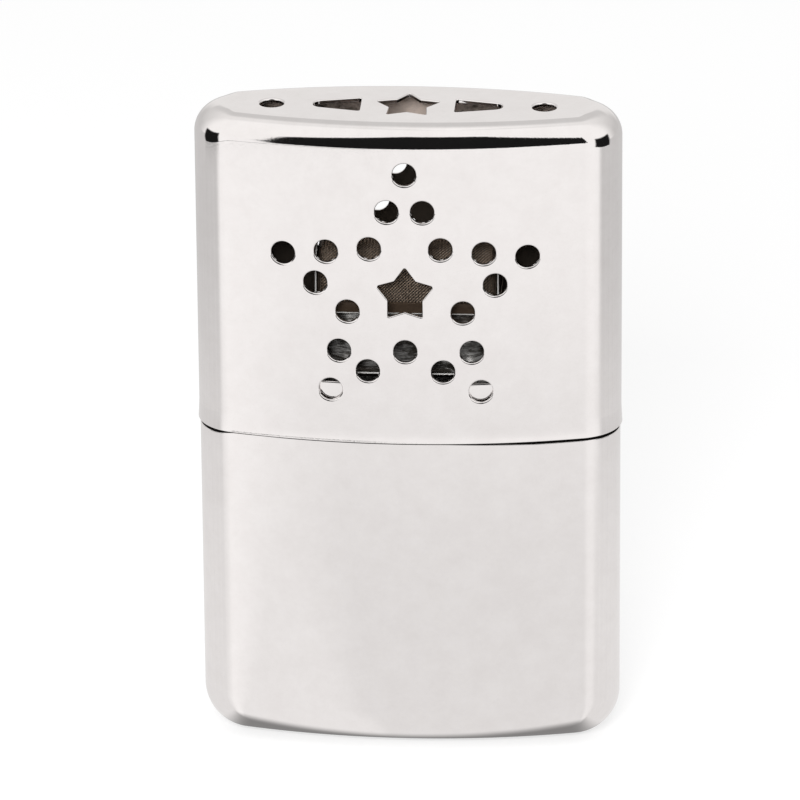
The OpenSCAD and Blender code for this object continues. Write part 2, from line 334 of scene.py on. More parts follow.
class Skin:
    """Patches of a surface with the normal at each point. piece() makes them one mesh."""

    def __init__(self):
        self.points, self.normals, self.faces, self.looks = [], [], [], []
        self.count = 0

    def add(self, points, normals, faces, look=0):
        self.points.append(np.asarray(points, float).reshape(-1, 3))
        self.normals.append(np.asarray(normals, float).reshape(-1, 3))
        self.faces += [tuple(int(i) + self.count for i in f) for f in faces]
        self.looks += look if isinstance(look, list) else [look] * len(faces)
        self.count += len(self.points[-1])

    def grid(self, points, normals, closed=False, look=0):
        """Rows of points. look may be a list with the look of each row."""
        rows, columns = np.shape(points)[:2]
        looks = look if isinstance(look, list) else [look] * rows
        faces = grid_faces(rows, columns, closed)
        per_row = len(faces) // (rows - 1)
        self.add(points, normals, faces, [looks[k // per_row] for k in range(len(faces))])

    def sweep(self, plan, path, normals, columns=None, look=0, other=None, share=None):
        """A profile carried round a plan, or round some of its columns. Where share is
        given, it says how far each column goes from this profile to the other one."""
        closed = columns is None
        columns = np.arange(len(plan.ways)) if closed else columns % len(plan.ways)
        rows, tilts = plan.carry(path, normals, columns)
        if other is not None:
            other_rows, other_tilts = plan.carry(*other, columns)
            rows += (other_rows - rows) * share[columns, None]
            tilts += (other_tilts - tilts) * share[columns, None]
        self.grid(rows, tilts, closed, look)

    def join(self, other, flip=(1, 1, 1)):
        """Takes in another skin. flip (-1, -1, 1) turns it half way round first."""
        self.faces += [tuple(i + self.count for i in f) for f in other.faces]
        self.points += [p * flip for p in other.points]
        self.normals += [n * flip for n in other.normals]
        self.looks += other.looks
        self.count += other.count

    def piece(self, name, looks):
        """The mesh in metres, with its patches welded and its own normals kept."""
        mesh = bpy.data.meshes.new(name)
        mesh.from_pydata(np.vstack(self.points) * MM, [], self.faces)
        kept = mesh.attributes.new("kept_normal", "FLOAT_VECTOR", "POINT")
        kept.data.foreach_set("vector", np.vstack(self.normals).astype(np.float32).ravel())
        mesh.polygons.foreach_set("material_index", self.looks)
        weld(mesh)
        normals = np.zeros(len(mesh.vertices) * 3, np.float32)
        mesh.attributes["kept_normal"].data.foreach_get("vector", normals)
        normals = normals.reshape(-1, 3)
        normals /= np.maximum(np.linalg.norm(normals, axis=1)[:, None], 1e-9)
        mesh.attributes.remove(mesh.attributes["kept_normal"])
        mesh.normals_split_custom_set_from_vertices(normals.tolist())
        return show(name, mesh, looks)


def row_looks(path, test, look=1):
    """The look of each row of a sweep: look where test(out, z) holds in the row's middle."""
    middles = (path[:-1] + path[1:]) / 2
    return [look if test(out, z) else 0 for out, z in middles]


def closed_sweep(name, plan, corners, looks, longest=None, highlit=lambda out, z: False):
    """A piece whose closed profile is carried round a plan. Where the last argument holds for
    (out, z), it has its second look."""
    path, normals = bend(corners, True, longest=longest)
    path, normals = np.vstack([path, path[:1]]), np.vstack([normals, normals[:1]])
    skin = Skin()
    skin.sweep(plan, path, normals, look=row_looks(path, highlit))
    return skin.piece(name, looks)


# ---- pierced sheet ----


def star_points(tip, waist):
    """Corners of a five-pointed star with one tip up."""
    reach = [tip, waist] * 5
    turn = [QUARTER + k * HALF_TURN / 5 for k in range(10)]
    return np.array([(r * math.cos(a), r * math.sin(a)) for r, a in zip(reach, turn)])


def round_cut(u, v, radius, steps=44):
    """A round cut-out: its points, the directions into the sheet, and its rolled edge."""
    angles = np.arange(steps) * 2 * HALF_TURN / steps
    ways = np.column_stack([np.cos(angles), np.sin(angles)])
    return ways * radius + (u, v), ways, PUNCH_ROLL


def cut(corners, radius=STAR_CORNER_R, shift=(0, 0)):
    """A cut-out with small round corners. Its corners run anticlockwise."""
    rounded = [(u + shift[0], v + shift[1], radius) for u, v in corners]
    return *bend(rounded, True, most_turn=0.2, longest=0.5), STAR_ROLL


def slot_cut(side):
    """The tapered slot beside the star in the cap's top."""
    r, rise = SLOT_NARROW / 2, SLOT_WIDE / 2
    centre = SLOT_X + SLOT_L - r
    run = centre - SLOT_X
    lean = math.atan2(rise, run) - math.asin(r / math.hypot(rise, run))
    corners = [(SLOT_X, -rise, SLOT_CORNER_R), (centre + r / math.sin(lean), 0, r)]
    corners.append((SLOT_X, rise, SLOT_CORNER_R))
    if side < 0:
        corners = [(-u, v, radius) for u, v, radius in reversed(corners)]
    return *bend(corners, True, longest=0.5), STAR_ROLL


class Face:
    """The cap's front wall. u is x, v is z, and depth goes in from the outer face."""

    def at(self, flat, depth):
        radius = FACE_R - depth
        y = FACE_CY - np.sqrt(radius**2 - flat[:, 0] ** 2)
        return np.column_stack([flat[:, 0], y, flat[:, 1]])

    def normal(self, flat):
        lean = flat[:, 0] / FACE_R
        return np.column_stack([lean, -np.sqrt(1 - lean**2), np.zeros(len(flat))])

    def lay(self, ways):
        return np.column_stack([ways[:, 0], np.zeros(len(ways)), ways[:, 1]])


class Level:
    """A level sheet. u is x, v is y, and depth goes down from its upper face."""

    def __init__(self, z):
        self.z = z

    def at(self, flat, depth):
        return np.column_stack([flat, np.full(len(flat), self.z) - depth])

    def normal(self, flat):
        return np.tile([0.0, 0.0, 1.0], (len(flat), 1))

    def lay(self, ways):
        return np.column_stack([ways, np.zeros(len(ways))])


def inside(points, loop):
    """Which of the points lie inside a closed loop."""
    x, y = points[:, 0][:, None], points[:, 1][:, None]
    ax, ay = loop[:, 0][None], loop[:, 1][None]
    bx, by = np.roll(loop[:, 0], -1)[None], np.roll(loop[:, 1], -1)[None]
    crosses = (ay > y) != (by > y)
    at = ax + (y - ay) * (bx - ax) / np.where(by == ay, 1e-12, by - ay)
    return (crosses & (x < at)).sum(1) % 2 == 1


def between(points, rim, loops):
    """Which of the points lie inside rim and outside the loops."""
    found = inside(points, rim)
    for loop in loops:
        found &= ~inside(points, loop)
    return found


def fill(rim, loops, spare, clear=0.35):
    """Triangles inside rim and outside the loops, through the spare points that lie
    clear of both. Returns the flat points and the triangles."""
    flat = np.vstack([rim, *loops])
    gap = np.min(np.linalg.norm(spare[:, None] - flat[None], axis=2), axis=1)
    flat = np.vstack([flat, spare[between(spare, rim, loops) & (gap > clear)]])
    edges, start = [], 0
    for loop in [rim, *loops]:
        n = len(loop)
        edges += [(start + k, start + (k + 1) % n) for k in range(n)]
        start += n
    out = geometry.delaunay_2d_cdt([Vector(p) for p in flat], edges, [], 1, 1e-9)
    source = [ids[0] for ids in out[3]]
    triangles = np.array([[source[i] for i in f] for f in out[2]])
    return flat, triangles[between(flat[triangles].mean(1), rim, loops)]


def pierce(skin, sheet, rims, cuts, thick, spares, looks=(0, 1, 0)):
    """Outer and inner faces of a sheet and the walls of its cut-outs.

    rims are the edges of the outer and inner face. The punch rolls a cut's outer edge
    over, by as much as the cut says, and leaves a sharper one inside.
    """
    for inner in (0, 1):
        loops = [points + ways * (BURR_ROLL if inner else roll) for points, ways, roll in cuts]
        flat, triangles = fill(rims[inner], loops, spares[inner])
        normals = sheet.normal(flat)
        if inner:
            triangles, normals = triangles[:, ::-1], -normals
        skin.add(sheet.at(flat, thick * inner), normals, triangles, looks[inner])
    for points, ways, roll in cuts:
        rows, tilts = [], []
        up = sheet.normal(points)
        into = sheet.lay(ways)
        for k in range(9):
            a = QUARTER * k / 8
            flat = points + ways * roll * (1 - math.sin(a))
            rows.append(sheet.at(flat, roll * (1 - math.cos(a))))
            tilts.append(up * math.cos(a) - into * math.sin(a))
        for k in range(4):
            a = QUARTER * k / 3
            flat = points + ways * BURR_ROLL * (1 - math.cos(a))
            rows.append(sheet.at(flat, thick - BURR_ROLL * (1 - math.sin(a))))
            tilts.append(-up * math.sin(a) - into * math.cos(a))
        rows = np.append(rows, np.array(rows)[:, :1], axis=1)
        tilts = np.append(tilts, np.array(tilts)[:, :1], axis=1)
        skin.grid(rows, tilts, look=looks[2])


def spare_grid(step):
    """Evenly spread points over the case's plan."""
    u = np.arange(-HALF_W + step / 2, HALF_W, step)
    v = np.arange(-HALF_D + step / 2, HALF_D, step)
    return np.array([(a, b) for a in u for b in v])


# ---- the case ----


def vent_cuts():
    """Round vents at the corners of a star and halfway along its edges, and a small star."""
    corners = star_points(STAR_R, STAR_WAIST)
    places = [p for k in range(10) for p in (corners[k], (corners[k] + corners[(k + 1) % 10]) / 2)]
    cuts = [round_cut(u, v + STAR_Z, VENT_R) for u, v in places]
    return cuts + [cut(star_points(*MID_STAR), shift=(0, STAR_Z))]


def top_cuts():
    """Star, tapered slots and round holes in the cap's top."""
    cuts = [cut(star_points(*TOP_STAR))]
    for side in (1, -1):
        cuts.append(slot_cut(side))
        cuts.append(round_cut(side * TOP_HOLE_X, 0, TOP_HOLE_R))
    return cuts


def end_share():
    """0 on the faces of the case and 1 at its round ends, for each step of its plan."""
    facing = np.degrees(np.arcsin(np.abs(CASE.ways[:, 0])))
    share = np.clip((facing - 8) / 34, 0, 1)
    return share**2 * (3 - 2 * share)


def rim_profile(low, flare, power):
    """The cap's rim from inside: its rounded edge, and a flare that fades out upwards."""
    edge = [(-SHEET, low, 0), (-SHEET, PART_Z, SHEET_EDGE_R)]
    edge += [(flare, PART_Z, 0.14), (flare, PART_Z + 0.15, 0)]
    path, normals = bend(edge, False, most_turn=0.2)
    share = 1 - np.linspace(0.06, 1, 28)[:, None]
    slope = flare * power * share ** (power - 1) / FLARE_H
    flared = np.hstack([flare * share**power, PART_Z + FLARE_H * (1 - share)])
    tilts = np.hstack([np.ones_like(slope), slope]) / np.hypot(1, slope)
    path = np.vstack([path[:-1], flared, [(0, low)]])
    return path, np.vstack([normals[:-1], tilts, [(1, 0)]])


def build_cap(looks):
    """The drawn, pierced cap, which flares out towards its rim."""
    low, high = PART_Z + FLARE_H + 0.5, BODY_H - TOP_END_R - 0.1
    wall = np.linspace(low, high, 21)
    share = end_share()
    skin = Skin()
    for shift, way, look in ((0, 1, 0), (-SHEET, -1, 1)):
        profiles = []
        for r in (TOP_R, TOP_END_R):
            top = BODY_H + shift
            edge = [(shift, high, 0), (shift, top, r + shift), (-TOP_RIM_IN, top, 0)]
            path, normals = bend(edge, False, most_turn=0.05)
            profiles.append((path[::way], normals[::way] * way))
        skin.sweep(CASE, *profiles[0], look=look, other=profiles[1], share=share)
    front_rim = rim_profile(low, FRONT_FLARE, 4.0)
    # The rim's underside gets the seam's painted shade
    under = row_looks(front_rim[0], lambda out, z: z < PART_Z + 0.08, 2)
    skin.sweep(CASE, *front_rim, look=under, other=rim_profile(low, FLARE_OUT, 1.3), share=share)
    for end in (RIGHT_END, LEFT_END):
        skin.sweep(CASE, [(0, z) for z in wall], [(1, 0)] * len(wall), end, 0)
        down = wall[::-1]
        skin.sweep(CASE, [(-SHEET, z) for z in down], [(-1, 0)] * len(wall), end, 1)
    face = Skin()
    rims, spares = [], []
    for depth in (0, SHEET):
        across = CASE.ring(-depth, 0)[FRONT][:, 0]
        side = across[-1]
        rim = [(x, low) for x in across]
        rim += [(side, z) for z in wall[1:]]
        rim += [(x, high) for x in across[-2::-1]]
        rim += [(-side, z) for z in wall[-2:0:-1]]
        rims.append(np.array(rim))
        spares.append(np.array([(x, z) for x in across[1:-1] for z in wall[1:-1]]))
    pierce(face, Face(), rims, vent_cuts(), SHEET, spares)
    skin.join(face)
    skin.join(face, (-1, -1, 1))
    rim = CASE.ring(-TOP_RIM_IN, 0)[:, :2]
    pierce(skin, Level(BODY_H), (rim, rim), top_cuts(), SHEET, (spare_grid(1.6),) * 2)
    return skin.piece("cap_shell", looks)


def flat_end(skin, plan, out, z, upward):
    """Closes a sweep with a level face."""
    flat, triangles = fill(plan.ring(out, z)[:, :2], [], np.empty((0, 2)))
    sheet = Level(z)
    if not upward:
        triangles = triangles[:, ::-1]
    skin.add(sheet.at(flat, 0), sheet.normal(flat) * (1 if upward else -1), triangles)


def build_shell(looks):
    """The drawn lower shell, with its wide round foot."""
    inset = SHELL_IN + FOOT_R
    profiles = []
    for top in (SHELL_HIGH[2] + SEAM_CLOSES, SHELL_HIGH[2] - SEAM_OPENS):
        corners = [
            (-inset, 0, 0),
            (-SHELL_IN, 0, FOOT_R),
            (-SHELL_IN, top, LIP_R),
            (-SHELL_IN - SHEET, top, SHEET_EDGE_R),
            (-SHELL_IN - SHEET, SHEET, FOOT_R - SHEET),
            (-inset, SHEET, 0),
        ]
        profiles.append(bend(corners, False, most_turn=0.05, longest=3.1))
    lip_in, lip_low = -SHELL_IN - 0.1, SHELL_HIGH[2] - 1.0
    # The inner face of the lip gets the seam's painted shade
    lip = row_looks(profiles[0][0], lambda out, z: out < lip_in and z > lip_low)
    # The seam is tight on the left of the middle, wider on the right, and open at the ends
    wider = np.clip((CASE.ring(0, 0)[:, 0] - 6) / 14, 0, 1) * 0.75
    skin = Skin()
    share = np.maximum(end_share(), wider)
    skin.sweep(CASE, *profiles[0], look=lip, other=profiles[1], share=share)
    flat_end(skin, CASE, -inset, 0, False)
    flat_end(skin, CASE, -inset, SHEET, True)
    return skin.piece("tank_body", looks)


def pierce_deck(skin, z, rim, hole_r, thick, spare=np.empty((0, 2))):
    """A level sheet with an oval hole."""
    hole = (OVAL.ring(hole_r, 0)[:, :2], OVAL.ways, HOLE_ROLL)
    pierce(skin, Level(z), (rim[:, :2],) * 2, [hole], thick, (spare,) * 2, (0, 0, 0))


def build_tank_top(looks):
    """The inverted cup in the shell's mouth: the collar and the deck, with the neck's hole."""
    inset = COLLAR_IN + SHEET + 0.2
    deck, foot = TOP_HIGH[2], TOP_LOW[2]
    corners = [
        (-inset, deck - SHEET, 0),
        (-COLLAR_IN - SHEET, deck - SHEET, 0.15),
        (-COLLAR_IN - SHEET, foot, SHEET_EDGE_R),
        (-COLLAR_IN, foot, SHEET_EDGE_R),
        (-COLLAR_IN, deck, COLLAR_R),
        (-inset, deck, 0),
    ]
    skin = Skin()
    skin.sweep(CASE, *bend(corners, False, most_turn=0.1, longest=3))
    pierce_deck(skin, deck, CASE.ring(-inset, 0), NECK_R + 0.05, SHEET, spare_grid(2.0))
    return skin.piece("collar_and_deck", looks)


def build_neck(looks):
    bore, foot, mouth = NECK_R - NECK_T, NECK_LOW[2], NECK_HIGH[2]
    flange = NECK_R + NECK_FLANGE
    corners = [
        (bore, foot, TIGHT_R),
        (flange, foot, TIGHT_R),
        (flange, foot + NECK_T, TIGHT_R),
        (NECK_R, foot + NECK_T, TIGHT_R),
        (NECK_R, mouth, MOUTH_R),
        (bore, mouth, MOUTH_R),
    ]
    return closed_sweep("neck_tube", OVAL, corners, looks)


def build_braze(looks):
    """The thin bead of braze where the neck leaves the deck."""
    wide, clear, hollow = 0.26, 0.005, 0.36
    neck, deck = NECK_R + clear, TOP_HIGH[2] + clear
    corners = [
        (neck, deck, 0.01),
        (NECK_R + wide, deck, 0.01),
        (NECK_R + wide * hollow, TOP_HIGH[2] + wide * hollow, 0.3),
        (neck, TOP_HIGH[2] + wide, 0.01),
    ]
    return closed_sweep("neck_braze", OVAL, corners, looks)


# ---- the burner ----


def build_socket(looks):
    low, high = SOCKET_LOW[2], SOCKET_HIGH[2]
    outer = SOCKET_BORE_R + SOCKET_T
    lip = outer + LIP_OUT
    corners = [
        (lip, low, 0.18),
        (lip, low + SOCKET_T, 0.2),
        (outer, low + SOCKET_T, LIP_BEND_R),
        (outer, high, 0.3),
        (WINDOW_R, high, MOUTH_R),
        (WINDOW_R, high - SOCKET_T, MOUTH_R),
        (SOCKET_BORE_R, high - SOCKET_T, 0.1),
        (SOCKET_BORE_R, low, LIP_BEND_R + SOCKET_T),
    ]
    # The lip's outer edge gets a painted highlight
    highlight_out, highlight_z = lip - 0.14, low + 0.2
    return closed_sweep("socket_tube", OVAL, corners, looks, 1.5,
                        lambda out, z: out > highlight_out and z > highlight_z)


def build_tray(looks):
    """The tray crimped round the foot of the gauze, with the oval window in its floor."""
    half_x, half_y = TRAY_HIGH[0], TRAY_HIGH[1]
    corner_r = HOOD_CORNER_R + half_x - HOOD_HIGH[0]
    plan = box_plan(half_x, half_y, corner_r, 24, 10, 8)
    low, high = TRAY_LOW[2], TRAY_HIGH[2] + TRAY_LIFT
    inset = 0.7
    corners = [
        (-inset, low, 0),
        (0, low, 0.3),
        (0, high, TRAY_EDGE_R),
        (-TRAY_T, high, TRAY_EDGE_R),
        (-TRAY_T, low + TRAY_T, 0.1),
        (-inset, low + TRAY_T, 0),
    ]
    path, normals = bend(corners, False, most_turn=0.2)
    # The tray's lower rounded edge gets a painted highlight
    highlit = row_looks(path, lambda out, z: z < low + 0.34 and out > -0.32)
    skin = Skin()
    skin.sweep(plan, path, normals, look=highlit)
    pierce_deck(skin, low + TRAY_T, plan.ring(-inset, 0), WINDOW_R, TRAY_T)
    return skin.piece("gauze_tray", looks)


class Loaf:
    """The burner head's form, grown all round: an arch from side to side whose ends are
    rounded over. Along the arch the end's radius goes from the corner's to the top's."""

    def __init__(self, grow):
        self.half_x = HOOD_HIGH[0] + grow
        self.half_y = HOOD_HIGH[1] + grow
        self.top = HOOD_HIGH[2] + grow
        self.grow = grow
        self.side_r = HOOD_SIDE_R + grow
        self.low = HOOD_LOW[2]
        self.rise = self.top - self.side_r - self.low
        self.level = 2 * (self.half_y - self.side_r)
        self.round = QUARTER * self.side_r
        self.length = 2 * (self.rise + self.round) + self.level

    def arch(self, v):
        """Point (y, z) and normal on the arch at distance v from its front foot."""
        back = v > self.length / 2
        w = np.where(back, self.length - v, v)
        angle = np.clip((w - self.rise) / self.side_r, 0, QUARTER)
        ny, nz = -np.cos(angle), np.sin(angle)
        flat = np.clip(w - self.rise - self.round, 0, None)
        y = -(self.half_y - self.side_r) + self.side_r * ny + flat
        z = self.low + np.clip(w, None, self.rise) + self.side_r * nz
        sign = np.where(back, -1, 1)
        return np.stack([y * sign, z], -1), np.stack([ny * sign, nz], -1)

    def end_radius(self, way):
        """The rounding of the ends, for each normal on the arch."""
        return HOOD_CORNER_R + (HOOD_END_R - HOOD_CORNER_R) * way[:, 1] ** 2 + self.grow

    def end(self):
        """Where u has gone right round the end's largest rounding."""
        return self.half_x + (QUARTER - 1) * (HOOD_END_R + self.grow)

    def at(self, u, v, out=0.0):
        """Point and normal of the skin. u runs along x and on round the end, and past
        the end's rounding it runs in over the flat end."""
        place, way = self.arch(v)
        radius = self.end_radius(way)
        start = self.half_x - radius
        angle = np.clip((np.abs(u) - start) / radius, 0, QUARTER)
        past = np.clip(np.abs(u) - start - QUARTER * radius, 0, None)
        x = np.minimum(np.abs(u), start) + radius * np.sin(angle)
        inset = radius * (1 - np.cos(angle)) + past
        side = np.sign(u)
        normal = np.column_stack([side * np.sin(angle), way * np.cos(angle)[:, None]])
        point = np.column_stack([side * x, place - way * inset[:, None]])
        return point + normal * np.reshape(out, (-1, 1)), normal


def build_wires(name, slant, looks, corners=5):
    """One set of the gauze's wires. They run slantwise over the hood and pass over and
    under the other set by turns."""
    loaf = Loaf(-WIRE_R * 2)
    reach = HOOD_HIGH[0] - END_CAP_WRAP + 0.45
    half = (reach + loaf.length / 2) / math.sqrt(2)
    points, faces, count = [], [], 0
    for k in range(-int(half / WIRE_PITCH), int(half / WIRE_PITCH) + 1):
        # On the flat gauze, a is the length along the wire and b the distance across.
        b = k * WIRE_PITCH
        a = np.arange(-half, half, WIRE_PITCH / 2)
        u = (a - slant * b) / math.sqrt(2)
        v = loaf.length / 2 + (slant * a + b) / math.sqrt(2)
        shown = (np.abs(u) <= reach) & (v >= 0) & (v <= loaf.length)
        if shown.sum() < 4:
            continue
        a, u, v = a[shown], u[shown], v[shown]
        wave = slant * np.cos(HALF_TURN * (a / WIRE_PITCH + k))
        centre, normal = loaf.at(u, v, wave * WIRE_R * 0.9)
        way = np.gradient(centre, axis=0)
        side = np.cross(way, normal)
        side /= np.linalg.norm(side, axis=1)[:, None]
        rings, wire_faces = tube(centre, normal, side, WIRE_R, corners)
        points.append(rings)
        faces += [tuple(i + count for i in f) for f in wire_faces]
        count += len(rings)
    return plain_piece(name, np.vstack(points), faces, looks)


def build_end_cap(name, side, looks):
    """The thin pressed cap over one end of the gauze, with the folded seam round its flat
    end, coloured as a painted highlight."""
    outer, inner = Loaf(END_CAP_GAP + END_CAP_T), Loaf(END_CAP_GAP)
    edge, columns = HOOD_HIGH[0] - END_CAP_WRAP, 97
    round_off = END_CAP_T / 2

    def ring(t, squeeze=0.0, back=0.0, closed=0.0):
        """The outer and the inner skin, at t of the way from the edge to the flat end."""
        halves = []
        for loaf, way in ((outer, -1), (inner, 1)):
            u = np.full(columns, edge + (loaf.end() - edge) * t)
            v = np.linspace(0, loaf.length, columns)
            skin = loaf.at(u, v, way * squeeze)[0] - (back, 0, 0)
            middle = np.array([loaf.half_x, 0, loaf.low])
            halves.append((skin * (1 - closed) + middle * closed)[::-way])
        return np.vstack(halves) * (side, 1, 1)

    rings = []
    for angle in QUARTER * np.arange(4) / 4:
        back = round_off * math.cos(angle) - round_off
        rings.append(ring(0, round_off * (1 - math.sin(angle)), back))
    rings += [ring(t) for t in np.linspace(0.02, 1, 40)]
    rings += [ring(1, closed=t) for t in np.linspace(0, 1, 9)[1:]]
    faces = grid_faces(len(rings), 2 * columns)
    for c in range(columns - 1):
        faces.append((c, c + 1, 2 * columns - 2 - c, 2 * columns - 1 - c))
    sheet_faces = len(faces)
    bead, bead_faces = end_bead(outer, columns)
    start = sum(map(len, rings))
    faces += [tuple(i + start for i in f) for f in bead_faces]
    made = plain_piece(name, np.vstack([*rings, bead * (side, 1, 1)]), faces, looks, math.radians(60))
    # The seam round the flat end gets the painted highlight
    for face in made.data.polygons:
        face.material_index = int(face.index >= sheet_faces)
    return made


def end_bead(loaf, columns):
    """The seam round a loaf's right-hand flat end, as points and faces."""
    place, arch = loaf.arch(np.linspace(0, loaf.length, columns))
    inset = loaf.end_radius(arch)[:, None] * 0.3
    spine = np.column_stack([np.full(columns, loaf.half_x), place - arch * inset])
    out = np.column_stack([np.zeros(columns), arch])
    return tube(spine, out, np.tile([1.0, 0.0, 0.0], (columns, 1)), END_BEAD_R, 8)


# ---- soft fillings ----


def ruffle(points, normals, depth, scale, seed):
    """Moves points inwards by layered noise, which leaves them inside their own form."""
    moved = []
    for p, n in zip(points, normals):
        swell = noise.fractal(Vector(p) * scale + Vector((seed, -seed, seed / 2)), 0.9, 2.1, 4)
        moved.append(p - n * depth * (0.5 - 0.5 * max(-1.0, min(1.0, swell))))
    return np.array(moved)


def soft_piece(name, rings, ways, middles, tilts, steps, looks, texture):
    """A soft filling of closed rings, whose ends close step by step towards their middles.
    texture is the depth, scale and seed of its uneven surface, and its lowest height."""
    shares = np.arange(1, steps + 1) / steps
    start, end = ([rings[k] * (1 - t) + middles[k] * t for t in shares] for k in (0, -1))
    rings = [*start[::-1], *rings, *end]
    ways = [*[tilts[0]] * steps, *ways, *[tilts[-1]] * steps]
    depth, scale, seed, low = texture
    points = ruffle(np.vstack(rings), np.vstack(ways), depth, scale, seed)
    points[:, 2] = np.maximum(points[:, 2], low)
    return plain_piece(name, points, grid_faces(len(rings), len(rings[0])), looks, HALF_TURN)


def build_pad(name, plan, corners, looks, depth, scale, seed, longest=0.5):
    """A soft filling: a round-edged form carried round a plan."""
    rows, ways = plan.carry(*bend(corners, False, most_turn=0.2, longest=longest))
    middles = rows[:, 0] * (0, 0, 1)
    return soft_piece(name, rows, ways, middles, ways, 14, looks, (depth, scale, seed, 0.0))


def build_mat(looks):
    """The fibre mat under the gauze."""
    loaf = Loaf(-0.75)
    low, columns, floor = MAT_LOW[2], 100, 40
    v = np.linspace(0, loaf.length, columns)
    across = np.linspace(1, -1, floor + 2)[1:-1]
    rings, ways = [], []
    for u in np.linspace(-loaf.end(), loaf.end(), 100):
        arch, way = loaf.at(np.full(columns, u), v)
        arch[:, 2] = np.maximum(arch[:, 2], low)
        base = np.column_stack([np.full(floor, arch[0, 0]), arch[-1, 1] * across, np.full(floor, low)])
        rings.append(np.vstack([arch, base]))
        ways.append(np.vstack([way, np.tile([0.0, 0.0, -1.0], (floor, 1))]))
    middles = [np.array([side * loaf.half_x, 0, low]) for side in (-1, 1)]
    tilts = [np.tile([side, 0.0, 0.0], (columns + floor, 1)) for side in (-1, 1)]
    return soft_piece("fibre_mat", rings, ways, middles, tilts, 9, looks, (0.4, 0.9, 7.0, low))


# ---- looks ----


class Value:
    """What a node gives. Arithmetic on a number adds the nodes that work it out."""

    def __init__(self, nodes, socket):
        self.nodes, self.socket = nodes, socket

    def math(self, operation, *others):
        return self.nodes.value("Math", dict(enumerate((self, *others))), operation=operation)

    def __add__(self, other):
        return self.math("ADD", other)

    def __sub__(self, other):
        return self.math("SUBTRACT", other)

    def __mul__(self, other):
        return self.math("MULTIPLY", other)

    def __abs__(self):
        return self.math("ABSOLUTE")

    def most(self, other):
        return self.math("MAXIMUM", other)

    def spread(self, low, high, out_low, out_high, kind="LINEAR"):
        """Maps low..high to out_low..out_high, held within them."""
        values = {"Value": self, "From Min": low, "From Max": high}
        values.update({"To Min": out_low, "To Max": out_high})
        return self.nodes.value("MapRange", values, interpolation_type=kind)

    def ease(self, low, high, out_low=0.0, out_high=1.0):
        """Like spread, with a soft start and end."""
        return self.spread(low, high, out_low, out_high, "SMOOTHSTEP")

    def window(self, low, high, soft):
        """1 between low and high, with soft edges."""
        return self.ease(low - soft, low + soft) * self.ease(high - soft, high + soft, 1.0, 0.0)

    def mix(self, low, high):
        """Goes from low to high as this goes from 0 to 1."""
        return self.nodes.value("Mix", {0: self, 2: low, 3: high})

    def tint(self, base, colour):
        """Goes from a colour to a plain one."""
        return self.nodes.value("Mix", {0: self, 6: base, 7: (*colour, 1)}, 2, data_type="RGBA")

    def shades(self, *stops):
        """A colour ramp through stops of (place, colour)."""
        node = self.nodes.add("ValToRGB", {"Fac": self})
        ramp = node.color_ramp
        while len(ramp.elements) < len(stops):
            ramp.elements.new(1.0)
        for element, (at, colour) in zip(ramp.elements, stops):
            element.position = at
            element.color = (*colour, 1)
        return Value(self.nodes, node.outputs["Color"])


RAYS = ("Camera", "Glossy", "Transmission")


class Nodes:
    """A node tree, and short ways to add to it."""

    def __init__(self, tree):
        self.tree = tree

    def give(self, socket, value):
        """Sets an input, or links it where value comes from a node."""
        if isinstance(value, Value):
            self.tree.links.new(value.socket, socket)
        else:
            socket.default_value = value

    def add(self, kind, values=None, **settings):
        """A node with its settings and inputs."""
        node = self.tree.nodes.new("ShaderNode" + kind)
        for key, value in settings.items():
            setattr(node, key, value)
        for key, value in (values or {}).items():
            self.give(node.inputs[key], value)
        return node

    def value(self, kind, values=None, output=0, **settings):
        return Value(self, self.add(kind, values, **settings).outputs[output])

    def split(self, vector):
        """The three parts of a vector."""
        return [Value(self, part) for part in self.add("SeparateXYZ", {0: vector}).outputs]

    def place(self, stretch=(1, 1, 1)):
        """Object coordinates, stretched."""
        source = self.value("TexCoord", output="Object")
        return self.value("Mapping", {"Vector": source, "Scale": stretch})

    def cloud(self, scale, detail, roughness, distortion=0.0, stretch=(1, 1, 1), at=None):
        """Noise from 0 to 1, over the object unless at says where."""
        values = {"Vector": at or self.place(stretch), "Scale": scale, "Detail": detail}
        values.update({"Roughness": roughness, "Distortion": distortion})
        return self.value("TexNoise", values, "Fac")

    def by_ray(self, plain, seen, mirrored):
        """One shader for the light that falls about, one for the camera, one for metal."""
        rays = {kind: self.value("LightPath", output=f"Is {kind} Ray") for kind in RAYS}
        metal = rays["Glossy"].most(rays["Transmission"])
        plain = self.value("MixShader", {0: metal, 1: plain, 2: mirrored})
        return self.value("MixShader", {0: rays["Camera"], 1: plain, 2: seen})


class Look(Nodes):
    """A material with one shader."""

    def __init__(self, name, colour, metallic, roughness):
        self.material = bpy.data.materials.new(name)
        self.material.use_nodes = True
        super().__init__(self.material.node_tree)
        self.shader = self.tree.nodes["Principled BSDF"]
        self.set("Base Color", (*colour, 1))
        self.set("Metallic", metallic)
        self.set("Roughness", roughness)

    def set(self, name, value):
        self.give(self.shader.inputs[name], value)

    def bump(self, height, distance):
        self.set("Normal", self.value("Bump", {"Height": height, "Distance": distance, "Strength": 1.0}))


# The colour of the painted shade at the collar's foot and round the neck
SHADE_COLOUR = (0.02, 0.018, 0.016)
# Heights just under the deck's upper face, in metres, where its painted shade starts
DECK_FACE = (0.0622, 0.0626)


